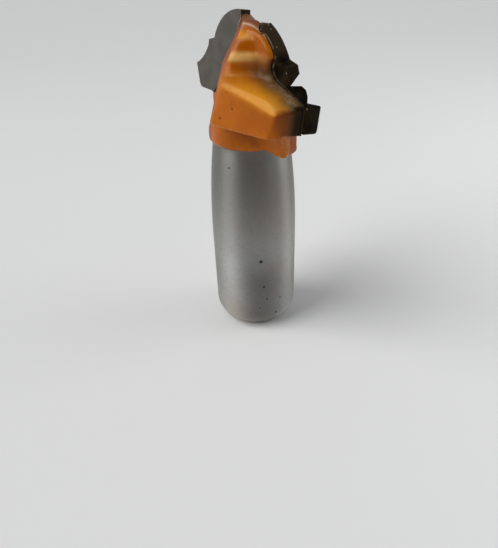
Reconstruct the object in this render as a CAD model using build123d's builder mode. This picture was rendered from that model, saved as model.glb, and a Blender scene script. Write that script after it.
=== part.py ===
# Two-winged profile router bit: a turned and milled steel body with its shank, and two
# carbide tips brazed into open seats.
#
# Frame: Z is the tool axis, z = 0 is the end face of the shank and +Z is the cutting end.
# Seen from the cutting end the bit turns anticlockwise. The outer tip's wing lies along +X
# with its rake face toward +Y; the centre tip's wing is the same wing turned half round.

import os
from math import cos, hypot, radians, sin

from build123d import *

os.makedirs("parts", exist_ok=True)

# ---- driving dimensions (mm, degrees) ----------------------------------------------------
shank_diameter = 12.7         # half-inch collet size
shank_end_chamfer = 1.9
straight_length = 15.5        # full diameter, from the end face up
neck_diameter = 10.7          # narrowest, under the collar
neck_height = 29.8
collar_diameter = 11.6
collar_height = 30.2

cutting_diameter = 28.9       # swept by the widest corner of the tips
hook_offset = 0.4             # each rake face lies this far behind the axis
carbide_thickness = 1.5
braze_gap = 0.12
relief_angle = 9.0            # the carbide falls away behind its edge
outer_tip_start = 3.6         # the outer tip stops short of the axis
outer_tip_flat = 0.95         # and its inner corner is ground down by this much
outer_tip_flat_end = 5.3
outer_tip_flat_rise = 0.19
outer_end_azimuth = -121.0    # its end is slanted off under the crown of the steel
outer_end_distance = -1.51
outer_end_rise = 35.0

# cutting edge, as radii along the rake face and heights
dome_start = (2.1, 45.55)     # inner end of the centre tip, the highest point
dome_middle = (6.8, 43.95)
dome_foot = (8.9, 41.45)
ledge_edge = (10.35, 41.1)
ledge_foot = (10.6, 40.35)
cove_middle = (11.85, 38.95)
corner_height = 37.35
heel = (13.9, 34.0)
heel_round = 0.7
strip_toe = (10.0, 34.0)      # inner edge of the carbide strip, from its foot to its top
strip_shoulder = (6.9, 37.5)
strip_top = 44.7

# steel form behind the tips, measured where it meets them
body_relief_offset = 3.2      # each wing is turned about an axis this far ahead of it
crown_drop = 0.6              # top of the steel, below the centre tip
crown_slope = 14.0            # the crown slopes down outward from here
crown_slope_start = 2.6
crown_back_azimuth = -84.0    # and falls away toward the back
crown_back_distance = 1.32
crown_back_slope = 15.0
crown_middle = (6.2, 44.15)
crown_foot = (8.4, 41.7)
throat = (7.9, 40.5)
flare_start = (9.0, 39.25)
flare_end = (13.3, 37.6)
land_top = (13.55, 36.95)
land_foot = (13.0, 33.9)
underside_height = 30.2

# milled faces of each wing; an azimuth is where the face looks, seen from the tip
back_azimuth = -49.5          # straight form milled across the wing's back
back_crown = (1.5, 45.0)
back_crown_middle = (4.6, 44.25)
back_wall_top = (5.75, 43.2)
back_wall_foot = (5.8, 42.15)
back_ledge = (6.35, 41.6)
back_ledge_round = 0.35
back_throat = (6.1, 40.5)
back_flare_start = (7.0, 39.3)
back_flare_middle = (9.9, 37.9)
back_flare_end = (11.9, 36.1)
rib_azimuth = -88.0           # flat that leaves a rib behind the carbide
rib_distance = 2.95
flank_azimuth = -75.6         # broad flat on the trailing side
flank_distance = 7.98
flank_lean = 5.5
flank_foot_height = 33.65     # below this the wing is cut back to a narrow foot
foot_azimuth = -90.0          # side of the foot
foot_distance = 3.5
foot_fall = 23.5
outer_flat_azimuth = 19.0     # flat on the foot of the wing, under the tip
outer_flat_distance = 9.8
foot_round_share = 0.47       # rounding of the foot's lower corner, as a share of its height
gullet_azimuth = -125.4       # floor of the gullet in front of the other wing
gullet_foot = (5.85, 31.2)    # distance of the floor from the axis, and height
gullet_shin = (4.85, 34.5)
gullet_waist = (3.65, 39.0)
gullet_neck = (2.4, 41.3)
gullet_top = (0.3, 45.1)

# breaks in the outer tip's edge
chip_outline = [(10.6, 40.15), (9.05, 38.55), (11.05, 38.95), (11.85, 38.65), (12.15, 38.0),
                (12.1, 37.25), (14.36, 37.44), (15.5, 39.0), (11.5, 41.0)]
chip_slant = (0.75, -0.62, 0.22)

# ---- derived values ----------------------------------------------------------------------
shank_radius = shank_diameter / 2
neck_radius = neck_diameter / 2
collar_radius = collar_diameter / 2
crown_height = dome_start[1] - crown_drop
foot_round = foot_round_share * (strip_toe[1] - underside_height)
corner = (cutting_diameter / 2, corner_height)
seat_depth = hook_offset + carbide_thickness    # back face of the tips
reach = 2 * cutting_diameter                    # longer than any cut needs to be
outer_azimuth = 0                               # the outer tip's wing, and the centre tip's
centre_azimuth = 180


def along(azimuth, offset=0.0, ahead=0.0):
    """Upright plane: x runs out at the azimuth, y is up, and z points behind the wing."""
    outward = Vector(cos(radians(azimuth)), sin(radians(azimuth)), 0)
    behind = Vector(outward.Y, -outward.X, 0)
    return Plane(origin=behind * (offset - ahead), x_dir=outward, z_dir=behind)


def facing(azimuth, distance, height=0.0, rise=0.0):
    """Plane that looks outward at the azimuth, from a distance, tipped up by rise degrees."""
    outward = Vector(cos(radians(azimuth)), sin(radians(azimuth)), 0)
    normal = outward * cos(radians(rise)) + Vector(0, 0, sin(radians(rise)))
    side = Vector(-outward.Y, outward.X, 0)
    return Plane(origin=outward * distance + Vector(0, 0, height), x_dir=side, z_dir=normal)


def turned(point):
    """Radius and height about the wing's own turning axis, for a point on the seat's floor."""
    return hypot(point[0], seat_depth + body_relief_offset), point[1]


def seat_outline(start, gap=0.0):
    """All that lies outward of the strip's inner edge, from its start, with the braze gap."""
    slope = (strip_top - strip_shoulder[1]) / (strip_shoulder[0] - dome_start[0])
    start_height = strip_top - slope * (start - dome_start[0])
    Polygon(
        (start - gap, reach), (start - gap, start_height - gap),
        (strip_shoulder[0] - gap, strip_shoulder[1] - gap),
        (strip_toe[0] - gap, strip_toe[1] - gap),
        (reach, strip_toe[1] - gap), (reach, reach), align=None)


def straight_cut(plane):
    """Solid half-space in front of a plane, to take away a milled face."""
    with BuildPart() as cutter:
        with BuildSketch(plane):
            Rectangle(2 * reach, 2 * reach)
        extrude(amount=reach)
    return cutter.part


# ---- carbide tips ------------------------------------------------------------------------
# all that the cutting edge sweeps, down to the tips' lower edge
with BuildSketch() as cutting_form:
    with BuildLine():
        ThreePointArc(dome_start, dome_middle, dome_foot)
        Polyline(dome_foot, ledge_edge, ledge_foot)
        ThreePointArc(ledge_foot, cove_middle, corner)
        Polyline(corner, heel, (0, heel[1]), (0, dome_start[1]), dome_start)
    make_face()
    fillet(vertices().sort_by_distance((*heel, 0))[0], heel_round)


def seat_space(azimuth, start, gap=0.0, ahead=0.0):
    """Space of a tip's seat, from its floor forward to the rake face, or further ahead."""
    with BuildPart() as space:
        with BuildSketch(along(azimuth, hook_offset - ahead)):
            seat_outline(start, gap)
        extrude(amount=ahead + carbide_thickness + gap)
        if azimuth == outer_azimuth:
            end_plane = facing(outer_end_azimuth, outer_end_distance + gap, strip_top,
                               outer_end_rise)
            add(straight_cut(end_plane), mode=Mode.SUBTRACT)
    return space.part


def carbide_tip(azimuth, start):
    """Ground tip: relieved behind its whole edge, with square inner edges for the seat."""
    with BuildPart() as tip:
        with BuildSketch(along(azimuth, hook_offset)):
            add(cutting_form.sketch)
        extrude(amount=carbide_thickness, taper=relief_angle)
        add(seat_space(azimuth, start), mode=Mode.INTERSECT)
    return tip.part


centre_tip_form = carbide_tip(centre_azimuth, dome_start[0])
with BuildPart() as centre_tip:
    add(centre_tip_form)

outer_tip_form = carbide_tip(outer_azimuth, outer_tip_start)
with BuildPart() as outer_tip:
    add(outer_tip_form)
    # its inner corner is ground down, clear of the centre
    with BuildSketch(along(outer_azimuth, hook_offset)):
        Polygon((0, dome_start[1] - outer_tip_flat),
                (outer_tip_flat_end, dome_start[1] - outer_tip_flat + outer_tip_flat_rise),
                (outer_tip_flat_end, reach), (0, reach), align=None)
    extrude(amount=carbide_thickness, mode=Mode.SUBTRACT)
    # the edge has broken away below the ledge and again above the widest corner
    with BuildSketch(along(outer_azimuth, hook_offset)):
        Polygon(*chip_outline, align=None)
    extrude(amount=reach / 4, dir=chip_slant, mode=Mode.SUBTRACT)

# ---- steel wing, one half of the head ----------------------------------------------------
behind_rib = straight_cut(facing(rib_azimuth, rib_distance))
with BuildPart() as back_cutter:
    # everything outside the straight form, save a rib that stays behind the carbide
    with BuildSketch(along(back_azimuth)):
        with BuildLine():
            ThreePointArc(back_crown, back_crown_middle, back_wall_top)
            Polyline(back_wall_top, back_wall_foot, back_ledge)
            ThreePointArc(back_ledge, back_throat, back_flare_start)
            ThreePointArc(back_flare_start, back_flare_middle, back_flare_end)
            Polyline(back_flare_end, (reach, back_flare_end[1]),
                     (reach, reach), (back_crown[0], reach), back_crown)
        make_face()
        for hollow_or_ridge in (back_wall_foot, back_ledge):
            fillet(vertices().sort_by_distance((*hollow_or_ridge, 0))[0], back_ledge_round)
    extrude(amount=reach, both=True)
    add(behind_rib, mode=Mode.INTERSECT)

crown_cut = straight_cut(
    facing(outer_azimuth, crown_slope_start, crown_height, 90 - crown_slope))
crown_back_cut = straight_cut(
    facing(crown_back_azimuth, crown_back_distance, crown_height, 90 - crown_back_slope))
flank_cut = straight_cut(facing(flank_azimuth, flank_distance, flank_foot_height, flank_lean))
with BuildPart() as foot_cutter:
    # what lies under the wing, outside the side of its foot and beyond the axis
    add(straight_cut(facing(foot_azimuth, foot_distance, flank_foot_height, -foot_fall)))
    add(straight_cut(facing(centre_azimuth, 0)))
    add(straight_cut(Plane(origin=(0, 0, flank_foot_height), z_dir=(0, 0, -1))),
        mode=Mode.INTERSECT)

with BuildPart() as wing:
    with BuildSketch(along(outer_azimuth, ahead=body_relief_offset)):
        with BuildLine():
            ThreePointArc(turned((0, crown_height)), turned(crown_middle), turned(crown_foot))
            ThreePointArc(turned(crown_foot), turned(throat), turned(flare_start))
            Polyline(turned(flare_start), turned(flare_end), turned(land_top),
                     turned(land_foot), turned((land_foot[0], underside_height)),
                     (0, underside_height), (0, crown_height), turned((0, crown_height)))
        make_face()
    revolve(axis=Axis((0, body_relief_offset, 0), (0, 0, 1)))
    split(bisect_by=Plane.XZ, keep=Keep.TOP)
    add(back_cutter.part, mode=Mode.SUBTRACT)
    add(crown_cut, mode=Mode.SUBTRACT)
    add(crown_back_cut, mode=Mode.SUBTRACT)
    add(flank_cut, mode=Mode.SUBTRACT)
    add(foot_cutter.part, mode=Mode.SUBTRACT)
    # the foot of the wing, below the carbide
    with BuildSketch(along(outer_flat_azimuth)):
        Polygon((0, 0), (0, underside_height), (outer_flat_distance, underside_height),
                (outer_flat_distance, strip_toe[1]), (reach, strip_toe[1]), (reach, 0), align=None)
        corner_of_foot = (outer_flat_distance, underside_height, 0)
        fillet(vertices().sort_by_distance(corner_of_foot)[0], foot_round)
    extrude(amount=reach, both=True, mode=Mode.SUBTRACT)

# ---- steel body --------------------------------------------------------------------------
with BuildPart() as gullet:
    with BuildSketch(along(gullet_azimuth)):
        Polygon((gullet_foot[0], underside_height), gullet_foot, gullet_shin, gullet_waist,
                gullet_neck, gullet_top, (gullet_top[0], reach), (reach, reach),
                (reach, underside_height), align=None)
    extrude(amount=reach, both=True)
    split(bisect_by=along(outer_azimuth, -hook_offset), keep=Keep.TOP)

centre_seat = seat_space(centre_azimuth, dome_start[0], braze_gap, reach)
outer_seat = seat_space(outer_azimuth, outer_tip_start, braze_gap, reach)
with BuildPart() as steel_body:
    with BuildSketch(Plane.XZ):
        with BuildLine():
            Polyline((0, 0), (shank_radius - shank_end_chamfer, 0),
                     (shank_radius, shank_end_chamfer), (shank_radius, straight_length))
            TangentArc((shank_radius, straight_length), (neck_radius, neck_height),
                       tangent=(0, 1))
            Polyline((neck_radius, neck_height), (collar_radius, collar_height),
                     (collar_radius, gullet_waist[1]), (0, gullet_waist[1]), (0, 0))
        make_face()
    revolve(axis=Axis.Z)
    with PolarLocations(0, 2):
        add(wing.part)
        add(gullet.part, mode=Mode.SUBTRACT)
    add(centre_seat, mode=Mode.SUBTRACT)
    add(outer_seat, mode=Mode.SUBTRACT)


# ---- braze -------------------------------------------------------------------------------
def braze_layer(azimuth, start):
    """Thin film behind a tip and along its inner edge, as far out as the steel goes."""
    with BuildPart() as layer:
        add(seat_space(azimuth, start, braze_gap))
        add(seat_space(azimuth, start), mode=Mode.SUBTRACT)
        add(wing.part.rotate(Axis.Z, azimuth), mode=Mode.INTERSECT)
    return layer.part


centre_layer = braze_layer(centre_azimuth, dome_start[0])
with BuildPart() as centre_tip_braze:
    add(centre_layer)

outer_layer = braze_layer(outer_azimuth, outer_tip_start)
with BuildPart() as outer_tip_braze:
    add(outer_layer)

# ---- export ------------------------------------------------------------------------------
steel_body.part.label = "steel_body"
centre_tip.part.label = "centre_tip"
outer_tip.part.label = "outer_tip"
centre_tip_braze.part.label = "centre_tip_braze"
outer_tip_braze.part.label = "outer_tip_braze"
export_step(steel_body.part, "parts/steel_body.step")
export_step(centre_tip.part, "parts/centre_tip.step")
export_step(outer_tip.part, "parts/outer_tip.step")
export_step(centre_tip_braze.part, "parts/centre_tip_braze.step")
export_step(outer_tip_braze.part, "parts/outer_tip_braze.step")
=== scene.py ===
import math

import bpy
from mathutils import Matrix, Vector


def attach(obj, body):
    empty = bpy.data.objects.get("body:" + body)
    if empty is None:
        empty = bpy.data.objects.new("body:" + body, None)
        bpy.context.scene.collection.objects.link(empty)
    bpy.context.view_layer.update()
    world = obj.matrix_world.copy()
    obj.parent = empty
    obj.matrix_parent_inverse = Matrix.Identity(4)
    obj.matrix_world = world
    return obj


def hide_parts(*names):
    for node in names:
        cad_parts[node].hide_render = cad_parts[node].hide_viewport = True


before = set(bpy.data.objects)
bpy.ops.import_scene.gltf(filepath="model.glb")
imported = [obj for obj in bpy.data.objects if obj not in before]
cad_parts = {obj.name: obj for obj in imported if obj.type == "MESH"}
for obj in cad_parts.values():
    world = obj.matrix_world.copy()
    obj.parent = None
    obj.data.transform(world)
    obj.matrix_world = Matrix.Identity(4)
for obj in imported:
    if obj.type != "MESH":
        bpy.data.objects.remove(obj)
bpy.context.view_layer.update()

# %% [markdown]
# # A two-winged router bit with brazed carbide tips
# The imported model gives a steel body, two carbide tips and the film of braze behind each one,
# in metres, with Z along the tool. This lesson dresses them: it softens the coated head, and
# then builds one finish at a time.

MM = 0.001


def toward(azimuth, elevation=0):
    """The direction that lies at an azimuth and elevation in degrees, seen from the tool."""
    a, e = math.radians(azimuth), math.radians(elevation)
    return Vector((math.cos(a) * math.cos(e), math.sin(a) * math.cos(e), math.sin(e)))


# %% [markdown]
# ## The camera
# The tool stands upright and is seen from a little above, from about eight centimetres away,
# so that the shank narrows toward its lower end. A camera is easiest to place by two points:
# where it stands, and the point that it looks at. The small roll says how far it was tilted.

# %% Camera
camera_place = Vector((56.62, -38.57, 54.31)) * MM
camera_target = Vector((0.0, -1.27, 7.22)) * MM
camera_roll = math.radians(-2.28)
camera_data = bpy.data.cameras.new("camera")
camera_data.lens = 33.18
camera_data.clip_start = 1 * MM
camera = bpy.data.objects.new("camera", camera_data)
bpy.context.scene.collection.objects.link(camera)
turn = (camera_target - camera_place).to_track_quat("-Z", "Y").to_matrix().to_4x4()
camera.matrix_world = (
    Matrix.Translation(camera_place) @ turn @ Matrix.Rotation(camera_roll, 4, "Z"))
bpy.context.scene.camera = camera
print("camera stands", round(camera_place.length / MM), "mm from the foot of the shank")

# %% [markdown]
# ## Small helpers for node networks
# The room's light and every finish are networks of nodes. These helpers keep them short: one
# adds a node, sets or links its inputs and gives back one output, and the others are the
# sums, mixes and soft steps that every network needs. A value can be a number or the output
# of another node. Colours are written as red, green and blue.

# %% Node helpers
MIX_FACTOR, VALUE_A, VALUE_B, COLOUR_A, COLOUR_B = 0, 2, 3, 6, 7    # inputs of a Mix node
COLOUR_RESULT = 2                                                   # its output of a colour


def add_node(tree, kind, inputs, output=0, **settings):
    """Add a node, set or link its inputs, and return one of its outputs."""
    node = tree.nodes.new("ShaderNode" + kind)
    for name, value in settings.items():
        setattr(node, name, value)
    for key, value in inputs.items():
        if isinstance(value, bpy.types.NodeSocket):
            tree.links.new(value, node.inputs[key])
        else:
            node.inputs[key].default_value = value
    return node.outputs[output]


def math_node(tree, operation, first, second=0.0):
    """One sum: the operation, applied to one or two values."""
    return add_node(tree, "Math", {0: first, 1: second}, operation=operation)


def times(tree, first, *others):
    """The product of several values. A product of masks is 1 only where all of them are."""
    for other in others:
        first = math_node(tree, "MULTIPLY", first, other)
    return first


def along(tree, vector, azimuth):
    """How far a place or a direction reaches toward an azimuth."""
    return add_node(tree, "VectorMath", {0: vector, 1: toward(azimuth)}, output="Value",
                    operation="DOT_PRODUCT")


def mask(tree, value, low, high):
    """0 where the value is at low, 1 at high, with a soft step between them."""
    return add_node(tree, "MapRange", {"Value": value, "From Min": low, "From Max": high},
                    clamp=True, interpolation_type="SMOOTHSTEP")


def band(tree, value, starts, full, fades, ends):
    """1 where the value is between full and fades, soft on both sides, and 0 outside."""
    return times(tree, mask(tree, value, starts, full), mask(tree, value, ends, fades))


def mix_value(tree, factor, first, second):
    """The first value where the factor is 0, and the second where it is 1."""
    return add_node(tree, "Mix", {MIX_FACTOR: factor, VALUE_A: first, VALUE_B: second},
                    data_type="FLOAT")


def mix_colour(tree, factor, first, second):
    """The same for colours."""
    first, second = ((*c, 1) if isinstance(c, tuple) else c for c in (first, second))
    return add_node(tree, "Mix", {MIX_FACTOR: factor, COLOUR_A: first, COLOUR_B: second},
                    output=COLOUR_RESULT, data_type="RGBA")


def tint(tree, colour, new_colour, factor, strength=1.0):
    """Lay a new colour over a colour, where the factor is 1 and as densely as the strength."""
    return mix_colour(tree, times(tree, factor, strength), colour, new_colour)


print("helpers are ready")

# %% [markdown]
# ## Floor and light
# A plain pale floor and soft studio light show a small metal tool best. Polished metal shows
# what stands round it, so each light is placed with its reflection in mind. A wide sun, as
# soft as a lit ceiling, comes from the upper left and lights the floor evenly, so that there
# is no dark horizon. A large softbox stands on the right, and two weaker ones fill in from
# the left and from above.

# %% Floor
bpy.ops.object.select_all(action="DESELECT")
bpy.ops.mesh.primitive_plane_add(size=4, location=(0, 0, 0))
floor = bpy.context.object
floor.name = "floor"
floor_finish = bpy.data.materials.new("pale_floor")
floor_finish.use_nodes = True
floor_shader = floor_finish.node_tree.nodes["Principled BSDF"]
floor_shader.inputs["Base Color"].default_value = (0.90, 0.90, 0.89, 1)
floor_shader.inputs["Roughness"].default_value = 0.9
floor.data.materials.append(floor_finish)
print("floor is 4 m wide, at the foot of the shank")

# %% Lights
light_distance = 200 * MM
lit_point = Vector((0, 0, 25)) * MM           # the point that the lights face


def light_from(name, kind, azimuth, elevation, strength):
    """A light that shines on the tool from a direction."""
    data = bpy.data.lights.new(name, kind)
    data.energy = strength
    light = bpy.data.objects.new(name, data)
    bpy.context.scene.collection.objects.link(light)
    light.location = toward(azimuth, elevation) * light_distance + lit_point
    light.rotation_euler = toward(azimuth, elevation).to_track_quat("Z", "Y").to_euler()
    print("light", name, "shines from", azimuth, "degrees round,", elevation, "up")
    return data


sun = light_from("wide_sun", "SUN", -110, 38, 1.9)
sun.angle = math.radians(50)
for name, azimuth, elevation, strength, width in (
        ("left_softbox", -150, 16, 0.01, 110), ("right_softbox", 62, 16, 0.09, 110),
        ("top_softbox", -106, 68, 0.03, 40)):
    softbox = light_from(name, "AREA", azimuth, elevation, strength)
    softbox.shape = "RECTANGLE"
    softbox.size, softbox.size_y = width * MM, width * MM
bpy.context.scene.view_settings.view_transform = "Standard"

# %% [markdown]
# The room itself is a world shader. Three of its sides are white, but the side behind the
# viewer is dark, and the shank reflects it as the tall dark band down its middle. The ceiling
# is dimmer than the walls, so that it doesn't wash out the orange of faces that look up.

# %% The room round the tool
viewer_azimuth = -40
lit_wall, dark_wall = 0.60, 0.01
room = bpy.data.worlds.new("room")
bpy.context.scene.world = room
room.use_nodes = True
tree = room.node_tree
direction = add_node(tree, "TexCoord", {}, output="Generated")
walls = mix_value(tree, mask(tree, along(tree, direction, viewer_azimuth), 0.38, 0.86),
                  lit_wall, dark_wall)
ceiling = add_node(tree, "MapRange", {
    "Value": add_node(tree, "SeparateXYZ", {0: direction}, output="Z"),
    "From Min": 0.2, "From Max": 0.9, "To Min": 1.0, "To Max": 0.35})
background = tree.nodes["Background"]
background.inputs["Color"].default_value = (0.95, 0.97, 1.0, 1)
tree.links.new(times(tree, walls, ceiling), background.inputs["Strength"])
print("three sides of the room are white, and the side behind the viewer is dark")

# %% [markdown]
# ## The steel body, softened where it is coated
# The body is one piece of steel. Its shank is ground bare and crisp, but the head is covered
# by a thick orange coating, and a coating is drawn back from sharp edges and fills the sharp
# hollows, so no edge of the head is crisp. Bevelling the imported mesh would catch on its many
# narrow triangles. Instead a copy is merged and cut in two under the collar. The head's half
# is rebuilt from small cubes (voxel remesh) and then smoothed, which rounds ridges and
# hollows alike. The shank's half stays as it is, reaches a little way into the head, and the
# two are joined into one piece again.

# %% Helpers for cutting and selecting
BODY = "root"
SAME_HEIGHT = 0.01                # mm, within which two points count as level


def edit_mode(on):
    """Go into edit mode, or back to object mode."""
    bpy.ops.object.mode_set(mode="EDIT" if on else "OBJECT")


def merged_copy(node_name, new_name):
    """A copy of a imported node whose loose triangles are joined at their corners."""
    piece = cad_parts[node_name].copy()
    piece.data = piece.data.copy()
    piece.name = new_name
    piece.parent = None
    for key in list(piece.keys()):
        del piece[key]
    bpy.context.scene.collection.objects.link(piece)
    bpy.ops.object.select_all(action="DESELECT")
    piece.select_set(True)
    bpy.context.view_layer.objects.active = piece
    edit_mode(True)
    bpy.ops.mesh.select_all(action="SELECT")
    bpy.ops.mesh.remove_doubles(threshold=0.001 * MM)
    bpy.ops.mesh.customdata_custom_splitnormals_clear()
    bpy.ops.mesh.dissolve_limited(angle_limit=math.radians(0.3))
    edit_mode(False)
    print(new_name, "starts with", len(piece.data.polygons), "faces")
    return piece


def keep_one_side(height, upper):
    """Cut the active piece at a height, keep one side, and close the cut."""
    edit_mode(True)
    bpy.ops.mesh.select_all(action="SELECT")
    bpy.ops.mesh.bisect(plane_co=(0, 0, height), plane_no=(0, 0, 1), use_fill=True,
                        clear_inner=upper, clear_outer=not upper)
    edit_mode(False)


def select_level_edges(piece, height):
    """In object mode, select just the edges whose two ends are at a height in mm."""
    level = [abs(vertex.co.z / MM - height) < SAME_HEIGHT for vertex in piece.data.vertices]
    for vertex in piece.data.vertices:
        vertex.select = False
    for face in piece.data.polygons:
        face.select = False
    for edge in piece.data.edges:
        edge.select = all(level[i] for i in edge.vertices)
    print(sum(edge.select for edge in piece.data.edges), "edges selected")


# %% The shank's half
collar_foot = 29.8                # mm: the coating ends here, under the collar
shank_reach = 0.6                 # mm: the shank goes on this far inside the head
shank = merged_copy("steel_body", "shank")
keep_one_side(collar_foot * MM, upper=False)
select_level_edges(shank, collar_foot)
edit_mode(True)
bpy.ops.mesh.extrude_region_move(TRANSFORM_OT_translate={"value": (0, 0, shank_reach * MM)})
edit_mode(False)

# the corners of the shank's chamfer are worn round
for corner_height, worn_radius in ((1.9, 1.3), (0.0, 0.6)):
    select_level_edges(shank, corner_height)
    edit_mode(True)
    bpy.ops.mesh.select_mode(type="EDGE")
    bpy.ops.mesh.bevel(offset=worn_radius * MM, segments=6, affect="EDGES")
    edit_mode(False)
bpy.ops.object.shade_smooth_by_angle(angle=math.radians(25))
print("shank spans", [round(c / MM, 1) for c in shank.dimensions], "mm")

# %% The head's half, rebuilt from small cubes
body = merged_copy("steel_body", "steel_body_finished")
keep_one_side(collar_foot * MM, upper=True)
remesh = body.modifiers.new("remesh", "REMESH")
remesh.mode = "VOXEL"
remesh.voxel_size = 0.135 * MM
remesh.use_smooth_shade = True
bpy.ops.object.modifier_apply(modifier="remesh")
print("head spans", [round(c / MM, 1) for c in body.dimensions], "mm, and has",
      len(body.data.polygons), "faces after the remesh")

# %% [markdown]
# How soft an edge is depends on where it lies. Next to the tips the coating was ground off
# together with the carbide, so those edges stay nearly crisp. The long ridge between the
# broad flank and the flare above it is the softest. Vertex groups hold these weights, and
# each one drives a Smooth modifier. The two wings are alike, so a point of the second wing is
# turned half round first, and every edge is described only once.

# %% Where the edges of the head are
seat_floor = 2.02                 # mm behind the axis plane, where the carbide's back lies
flank_normal = toward(-75.6, 5.5)
flank_point = toward(-75.6) * 7.98 + Vector((0, 0, 33.65))
flare_azimuth, rib_azimuth, gullet_azimuth = -49.5, -88, -125.4
rib_distance = 2.95               # mm from the axis to the rib's face
ledge_height = 42.2
gullet_floor = (                  # heights, and how far out the gullet's floor is there
    (31.2, 5.85), (34.5, 4.85), (39.0, 3.65), (41.3, 2.4), (45.1, 0.3))


def rise(value, low, high):
    """0 below low, 1 above high, and a straight rise between them."""
    return min(1.0, max(0.0, (value - low) / (high - low)))


def turned(point, second):
    """A point of the second wing is turned half round to the first one."""
    return Vector((-point.x, -point.y, point.z)) if second else point


def away_from_seat(point):
    point = turned(point, second=point.x < 0)
    return rise(abs(point.y + seat_floor), 0.1, 0.7)


def on_flank_ridge(point):
    point = turned(point, second=point.x < 0)
    off = abs((point - flank_point).dot(flank_normal))
    return (1 - rise(off, 1.3, 2.4)) * rise(point.z, 35.2, 36.6) * (1 - rise(point.x, 9.5, 12.0))


def on_gullet_ridge(point):
    point = turned(point, second=point.y > 0)
    for (low, near), (high, far) in zip(gullet_floor, gullet_floor[1:]):
        if low <= point.z <= high:
            floor_distance = near + (far - near) * (point.z - low) / (high - low)
            off = abs(point.dot(toward(gullet_azimuth)) - floor_distance)
            return (1 - rise(off, 0.7, 1.2)) * rise(-point.y, 2.5, 3.2)
    return 0.0


def on_rib(point):
    point = turned(point, second=point.y > 0)
    off = abs(point.dot(toward(rib_azimuth)) - rib_distance)
    return (1 - rise(off, 0.6, 1.1)) * rise(point.z, 38.0, 39.0)


def on_ledge(point):
    point = turned(point, second=point.y > 0)
    out = point.dot(toward(flare_azimuth))
    return rise(out, 4.2, 4.8) * (1 - rise(abs(point.z - ledge_height), 1.3, 1.8))


print("five kinds of edge are described")


# %% Smooth the coated edges
def smooth_where(piece, name, weight_of, rounds):
    """Smooth the active piece by a weight for each point, which is given in mm."""
    group = piece.vertex_groups.new(name=name)
    for vertex in piece.data.vertices:
        weight = weight_of(vertex.co / MM)
        if weight > 0:
            group.add([vertex.index], weight, "REPLACE")
    smooth = piece.modifiers.new(name, "SMOOTH")
    smooth.factor = 0.5
    smooth.iterations = rounds
    smooth.vertex_group = name
    bpy.ops.object.modifier_apply(modifier=name)
    print(name, "smoothed by", rounds, "rounds")


for name, weight_of, rounds in (
        ("all_edges", lambda point: 1.0, 3), ("coated_edges", away_from_seat, 14),
        ("flank_ridge", on_flank_ridge, 260), ("gullet_ridge", on_gullet_ridge, 40),
        ("rib_edges", on_rib, 30), ("ledge", on_ledge, 6)):
    smooth_where(body, name, weight_of, rounds)

# %% Join the shank to the head
head_faces = len(body.data.polygons)
bpy.ops.object.select_all(action="DESELECT")
shank.select_set(True)
body.select_set(True)
bpy.context.view_layer.objects.active = body
bpy.ops.object.join()
body.name = "steel_body_finished"
body.vertex_groups.clear()
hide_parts("steel_body")
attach(body, BODY)
print("steel body has", len(body.data.polygons), "faces")

# %% [markdown]
# ## Patterns for the finishes
# Every pattern is made on Object coordinates, so it stays fixed in the metal. They are turned
# into millimetres first, so that the size of each pattern can be read as a real size. Noise
# gives blotches and fine grain, and specks and spots give the small pits that any used tool
# has. A relief is a Bump node, which tilts the light on the surface but moves no point.

# %% Pattern helpers
def noise(tree, place, size, detail=3.0, roughness=0.5, stretch=(1, 1, 1)):
    """Noise whose blotches are about size mm wide, longer where stretch is more than 1."""
    scale = tuple(1 / (size * s) for s in stretch)
    moved = add_node(tree, "Mapping", {"Vector": place, "Scale": scale})
    return add_node(tree, "TexNoise", {"Vector": moved, "Scale": 1.0, "Detail": detail,
                                       "Roughness": roughness})


def specks(tree, place, spacing, radius):
    """1 in small round specks, about one for each cell of the spacing, and 0 elsewhere."""
    distance = add_node(tree, "TexVoronoi", {"Vector": place, "Scale": 1 / spacing,
                                             "Randomness": 1.0}, output="Distance")
    return mask(tree, distance, radius / spacing, 0.4 * radius / spacing)


def spots(tree, place, marks):
    """1 in each round mark, given as its place and radius in mm, and 0 elsewhere."""
    covered = 0.0
    for mark, radius in marks:
        distance = add_node(tree, "VectorMath", {0: place, 1: mark}, output="Value",
                            operation="DISTANCE")
        covered = math_node(tree, "MAXIMUM", mask(tree, distance, radius, 0.5 * radius), covered)
    return covered


def new_finish(name, **values):
    """A material, with the constant values of its shader, its tree and its places in mm."""
    finish = bpy.data.materials.new(name)
    finish.use_nodes = True
    tree = finish.node_tree
    shader = tree.nodes["Principled BSDF"]
    for key, value in values.items():
        shader.inputs[key.replace("_", " ").title().replace("Ior", "IOR")].default_value = value
    place = add_node(tree, "Mapping", {
        "Vector": add_node(tree, "TexCoord", {}, output="Object"), "Scale": (1 / MM,) * 3})
    return finish, tree, shader, place


def use(tree, shader, **sockets):
    """Link outputs to the shader's inputs of the same names."""
    for name, socket in sockets.items():
        tree.links.new(socket, shader.inputs[name.replace("_", " ").title()])


def relief(tree, pattern, strength, depth):
    """A surface direction that follows a pattern, as if it were depth mm deep."""
    return add_node(tree, "Bump", {"Strength": strength, "Distance": depth * MM,
                                   "Height": pattern})


print("patterns are ready")
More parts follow.
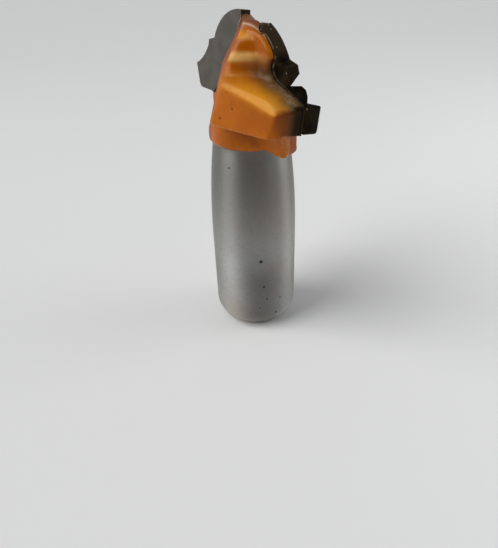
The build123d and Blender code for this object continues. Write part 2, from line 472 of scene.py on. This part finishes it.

# %% [markdown]
# ## Orange coating
# The head is covered by a glossy orange coating. Painted light makes it golden where faces look
# up on the lower flare and the crown, and painted shade makes it deeper on the walls of the
# gullets. All of its marks follow from where a point lies, so that is worked out first: how far
# out on its wing, how far behind the carbide, how high, and whether it faces the gullet. Each of
# these is the same on both wings.

# %% Where a point lies on the head
def wing_places(tree, place):
    """Outward, behind-the-carbide and upward distances in mm, alike on both wings."""
    x, y, z = add_node(tree, "SeparateXYZ", {0: place}).node.outputs
    side = math_node(tree, "SIGN", x)
    backward = times(tree, y, side, -1.0)
    return times(tree, x, side), math_node(tree, "SUBTRACT", backward, seat_floor), z


coating, tree, shader, place = new_finish(
    "orange_coating", coat_weight=0.06, coat_roughness=0.12, specular_ior_level=0.3,
    specular_tint=(1.0, 0.74, 0.38, 1))
outward, behind, height = wing_places(tree, place)
surface = add_node(tree, "NewGeometry", {}).node.outputs
normal, pointed = surface["Normal"], surface["Pointiness"]
faces_up = add_node(tree, "SeparateXYZ", {0: normal}, output="Z")
flare_reach = math_node(tree, "ABSOLUTE", along(tree, place, flare_azimuth))
rib_reach = math_node(tree, "ABSOLUTE", along(tree, place, rib_azimuth))

# 1 on the half of the head that lies toward -100 degrees, and -1 on the other half
which_wing = math_node(tree, "SIGN", along(tree, place, -100))
gullet_side = mask(tree, times(tree, along(tree, normal, -150), which_wing), 0.55, 0.75)
wing_side = math_node(tree, "SUBTRACT", 1.0, gullet_side)
print("the coating knows its wing, its height and its distance from the carbide")

# %% Coating colours
blotches = noise(tree, place, 5.0, detail=4)
colour = mix_colour(tree, mask(tree, blotches, 0.35, 0.65),
                    (0.38, 0.085, 0.001), (0.47, 0.118, 0.002))
# Painted light: gold is laid where faces look up, on the lower flare and on the crown patch.
painted_highlight_crown_patch = times(tree, mask(tree, height, 43.1, 43.8), mask(tree, rib_reach, 2.7, 3.8))
gold = math_node(tree, "MAXIMUM", mask(tree, flare_reach, 5.6, 9.6), painted_highlight_crown_patch)
gold = times(tree, gold, mask(tree, faces_up, 0.1, 0.5), wing_side)
colour = tint(tree, colour, (0.80, 0.315, 0.010), gold, 0.8)
# Painted shade: the walls of the gullets are made a deeper orange.
colour = tint(tree, colour, (0.23, 0.040, 0.0005), gullet_side, 0.75)
print("coating colours run from deep orange to gold")

# %% [markdown]
# The flare's edge gets a painted highlight, and the ledge above it a painted highlight in an
# uneven band. Pointiness, which Cycles measures on the mesh, finds ridges and hollows: ridges
# get a faint painted highlight and hollows painted shade. The light tints on ridges are kept
# off the gullet walls, where the small steps that the remesh leaves would show as rows of
# marks. Ambient occlusion finds the sheltered places, which get painted shade, and the low
# outer part of each wing gets painted shade as a deeper red.

# %% Painted highlights and painted shade
# Painted highlight along the flare's edge.
painted_highlight_flare_edge = times(
    tree, mask(tree, pointed, 0.508, 0.53), band(tree, flare_reach, 7.2, 8.2, 10.2, 11.4),
    mask(tree, height, 34.6, 35.4), mask(tree, faces_up, 0.12, 0.3), wing_side)
# Painted highlight on the ledge, broken by noise into an uneven band.
painted_highlight_ledge = times(
    tree, band(tree, height, 40.8, 41.4, 41.7, 42.4), mask(tree, flare_reach, 3.9, 4.7),
    mask(tree, behind, 0.2, 1.6), wing_side,
    mix_value(tree, noise(tree, place, 1.2, detail=4), 0.5, 1.3))
# Painted highlight: ridges found by pointiness are made lighter.
ridge = times(tree, mask(tree, pointed, 0.51, 0.545), wing_side)
# Painted shade: hollows found by pointiness are made darker.
hollow = mask(tree, pointed, 0.497, 0.465)
# Painted shade: places that ambient occlusion finds sheltered are made darker.
open_sky = add_node(tree, "AmbientOcclusion", {"Distance": 5.0 * MM}, output="AO", samples=12)
sheltered = mask(tree, open_sky, 0.85, 0.42)
# Painted shade: the low outer land of each wing is made a deeper red.
painted_shade_outer_land = times(tree, mask(tree, outward, 11.4, 12.2), mask(tree, height, 37.4, 36.9))
for new_colour, where, strength in (
        ((0.86, 0.62, 0.36), painted_highlight_flare_edge, 0.6), ((0.72, 0.40, 0.12), painted_highlight_ledge, 1.0),
        ((0.72, 0.36, 0.03), ridge, 0.15), ((0.24, 0.04, 0.001), hollow, 0.5),
        ((0.17, 0.022, 0.0008), sheltered, 0.95), ((0.20, 0.028, 0.001), painted_shade_outer_land, 0.7)):
    colour = tint(tree, colour, new_colour, where, strength)
print("ridges are lighter, and sheltered places are darker")

# %% [markdown]
# Behind the tips the coating is scorched brown by brazing and grinding, with a pale painted
# reflection, broken into specks, inside the scorch. The scorch follows how far a point lies
# behind the carbide, with noise to make its border uneven. By the widest corners the coating
# is ground off to steel, painted near black as a painted dark reflection. A pale painted
# highlight runs along the top rim, and the top of the crown gets painted shade. A few larger
# dark spots have places of their own, so that the scatter of specks isn't too even.

# %% Scorched and ground places
uneven = math_node(tree, "SUBTRACT", noise(tree, place, 2.2, detail=5, roughness=0.6), 0.5)
uneven = times(tree, uneven, 1.6)
scorch_edge = math_node(tree, "ADD", behind, uneven)
scorch = times(
    tree, mask(tree, scorch_edge, 3.0, 0.3), band(tree, height, 33.8, 34.4, 40.0, 42.4),
    mask(tree, behind, -0.5, 0.0), wing_side)
# Painted reflection: a pale tint inside the scorch, broken into specks by noise.
painted_reflection_specks = times(
    tree, band(tree, scorch_edge, -0.1, 0.35, 0.7, 1.3),
    band(tree, height, 36.9, 37.3, 38.5, 40.5),
    mask(tree, noise(tree, place, 0.5, detail=4), 0.3, 0.7))
# Painted shade on the top of the crown.
painted_shade_crown_top = times(tree, mask(tree, behind, -0.02, -0.6), mask(tree, height, 42.6, 45.0))
# Painted highlight: a pale rim along the top, next to the carbide.
painted_highlight_rim = times(
    tree, band(tree, behind, -0.15, -0.02, 0.12, 0.28), mask(tree, height, 43.4, 43.9),
    wing_side)
# The strip of bare ground steel is real, and its near-black colour is a painted dark reflection.
bare_edge = math_node(tree, "ADD", behind, times(tree, uneven, 0.3))
bare = times(
    tree, mask(tree, bare_edge, 1.5, 0.6), mask(tree, outward, 11.6, 12.4),
    band(tree, height, 33.6, 33.9, 37.3, 37.8))
mottle = mask(tree, noise(tree, place, 0.7, detail=5, roughness=0.7), 0.5, 0.75)
dark_spots = spots(tree, place, (
    ((3.84, -7.12, 34.95), 0.22), ((2.88, -7.5, 33.68), 0.26), ((5.71, -6.51, 36.34), 0.18),
    ((6.1, -2.2, 44.25), 0.45)))
dark_specks = math_node(tree, "MAXIMUM", specks(tree, place, 3.6, 0.12), dark_spots)
for new_colour, where, strength in (
        ((0.045, 0.024, 0.010), scorch, 0.92), ((0.30, 0.23, 0.15), painted_reflection_specks, 0.5),
        ((0.13, 0.030, 0.002), painted_shade_crown_top, 0.85), ((0.62, 0.48, 0.30), painted_highlight_rim, 0.85),
        ((0.006, 0.003, 0.001), bare, 1.0), ((0.16, 0.035, 0.002), mottle, 0.3),
        ((0.05, 0.02, 0.006), dark_specks, 0.8)):
    colour = tint(tree, colour, new_colour, where, strength)
print("the scorch fades out within about 3 mm of the carbide")

# %% Coating gloss and relief
gloss = mix_value(tree, noise(tree, place, 2.0, detail=5), 0.16, 0.34)
gloss = mix_value(tree, scorch, gloss, 0.5)
gloss = mix_value(tree, math_node(tree, "MAXIMUM", gullet_side, painted_shade_crown_top), gloss, 0.55)
gloss = mix_value(tree, bare, gloss, 0.75)
peel = noise(tree, place, 0.55, detail=2)
streaks = noise(tree, place, 0.22, detail=2, stretch=(1, 1, 14))
pattern = math_node(tree, "ADD", times(tree, peel, 0.6), times(tree, streaks, 0.4))
use(tree, shader, base_color=colour, roughness=gloss, normal=relief(tree, pattern, 0.35, 0.05))
print("the coating's relief is about 0.05 mm deep")

# %% [markdown]
# ## Ground steel of the shank
# The shank is ground between centres, which leaves fine lines round it. Such lines spread a
# reflection along the tool but not across it, and so the shank shows tall soft bands. The
# anisotropic setting gives the spread, and very flat noise gives the lines. Painted shade
# darkens the shank toward the head, and its lower end, where the collet grips it, is duller.
# Years of use left small dark pits and a faint warm stain.

# %% Shank finish
steel, tree, shader, place = new_finish("ground_steel", metallic=1.0, anisotropic=0.85,
                                        anisotropic_rotation=0.25)
height = add_node(tree, "SeparateXYZ", {0: place}, output="Z")
stain = mask(tree, noise(tree, place, 9.0, detail=4), 0.4, 0.7)
grain = noise(tree, place, 0.5, detail=4, roughness=0.65)
# Painted shade: the shank is made darker toward the head.
painted_shade_upper_shank = mask(tree, height, 12.0, 27.0)
dulled = mask(tree, height, 17.0, 5.0)
pits = spots(tree, place, (
    ((5.69, -2.82, 13.2), 0.34), ((5.85, -2.47, 8.55), 0.24), ((6.01, -2.06, 6.15), 0.2),
    ((6.33, -0.55, 3.0), 0.24), ((6.35, 0.23, 5.7), 0.18), ((2.16, -5.23, 27.4), 0.2),
    ((5.54, -3.11, 4.55), 0.16), ((-5.9, 2.3, 9.0), 0.3), ((-2.6, 5.8, 17.0), 0.22)))
pits = math_node(tree, "MAXIMUM", pits, specks(tree, place, 3.4, 0.11))
colour = mix_colour(tree, stain, (0.385, 0.385, 0.375), (0.37, 0.34, 0.305))
for new_colour, where, strength in (
        ((0.32, 0.315, 0.30), mask(tree, grain, 0.45, 0.8), 1.0),
        ((0.15, 0.145, 0.13), painted_shade_upper_shank, 0.72), ((0.05, 0.04, 0.03), pits, 0.85)):
    colour = tint(tree, colour, new_colour, where, strength)
gloss = mix_value(tree, dulled, mix_value(tree, grain, 0.38, 0.48), 0.78)
gloss = mix_value(tree, pits, gloss, 0.8)
lines = noise(tree, place, 0.09, detail=3, stretch=(60, 60, 1))
pattern = math_node(tree, "SUBTRACT", lines, times(tree, pits, 2.0))
round_the_tool = add_node(tree, "Tangent", {}, direction_type="RADIAL", axis="Z")
use(tree, shader, base_color=colour, roughness=gloss, normal=relief(tree, pattern, 0.25, 0.02),
    tangent=round_the_tool)
print("the grinding lines are about 0.09 mm apart")

# %% Give the head and the shank their finishes
body.data.materials.clear()
body.data.materials.append(coating)
body.data.materials.append(steel)
for face in body.data.polygons:
    face.material_index = 0 if face.index < head_faces else 1
print(head_faces, "faces are coated")

# %% [markdown]
# ## Ground carbide
# The tips are tungsten carbide, ground to a fine grey on the rake face, which is the flat front
# of each one. The narrow faces behind the edge are painted near black and made a non-metal, as
# painted shade, with painted light that makes their tops a little lighter, and painted glints.
# The rake face is found by its place, as it lies 0.4 mm behind the axis plane, and everything
# behind it takes the painted shade.

# %% Carbide finish
rake_face = 0.4                   # mm behind the axis plane
carbide, tree, shader, place = new_finish("ground_carbide", specular_ior_level=0.05,
                                          specular_tint=(1.0, 0.72, 0.48, 1))
_, behind, height = wing_places(tree, place)
from_rake = math_node(tree, "ADD", behind, seat_floor - rake_face)
# Painted shade: the faces behind the rake face take a near-black colour and no metal.
relief_faces_painted_shade = mask(tree, from_rake, 0.03, 0.10)
mottle = noise(tree, place, 1.8, detail=5)
grain = noise(tree, place, 0.16, detail=3, roughness=0.7)
clean = mix_colour(tree, mask(tree, mottle, 0.3, 0.7), (0.112, 0.119, 0.115),
                   (0.146, 0.152, 0.150))
relief_painted_shade_colour = mix_colour(tree, mask(tree, mottle, 0.38, 0.62), (0.004, 0.0025, 0.0012),
                   (0.020, 0.013, 0.007))
# Painted light: the tops of those faces are a little lighter.
relief_painted_shade_colour = tint(tree, relief_painted_shade_colour, (0.050, 0.034, 0.018), mask(tree, height, 41.8, 42.6), 0.7)
# Painted highlight: small pale glints on the dark relief faces.
glints = times(tree, specks(tree, place, 1.1, 0.12), relief_faces_painted_shade)
colour = tint(tree, mix_colour(tree, relief_faces_painted_shade, clean, relief_painted_shade_colour), (0.45, 0.43, 0.40), glints, 0.5)
gloss = mix_value(tree, times(tree, relief_faces_painted_shade, mottle), mix_value(tree, grain, 0.38, 0.52), 0.65)
wheel_marks = noise(tree, place, 0.07, detail=2, stretch=(40, 40, 1))
pattern = math_node(tree, "ADD", wheel_marks, grain)
use(tree, shader, base_color=colour, metallic=math_node(tree, "SUBTRACT", 1.0, relief_faces_painted_shade),
    roughness=gloss, normal=relief(tree, pattern, 0.2, 0.02))
for tip in ("centre_tip", "outer_tip"):
    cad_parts[tip].material_slots[0].material = carbide
    print(tip, "is ground carbide")

# %% [markdown]
# ## Braze
# The alloy that holds the tips shows only as a thin line beside the carbide: dull yellow where
# the grinding wheel touched it, and brown with old flux in blotches elsewhere. It is also brown
# all along its lower part, below about 37 mm.

# %% Braze finish
braze, tree, shader, place = new_finish("dull_braze", metallic=1.0)
height = add_node(tree, "SeparateXYZ", {0: place}, output="Z")
# Brown blotches of flux, and brown all along the lower part, below about 37 mm.
flux_and_dark_lower_part = math_node(tree, "MAXIMUM", mask(tree, noise(tree, place, 0.8, detail=4), 0.4, 0.6),
                 mask(tree, height, 37.7, 37.1))
use(tree, shader, base_color=mix_colour(tree, flux_and_dark_lower_part, (0.36, 0.28, 0.16), (0.08, 0.05, 0.03)),
    roughness=mix_value(tree, flux_and_dark_lower_part, 0.35, 0.65), normal=relief(tree, flux_and_dark_lower_part, 0.3, 0.02))
for film in ("centre_tip_braze", "outer_tip_braze"):
    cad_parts[film].material_slots[0].material = braze
    print(film, "is dull braze")
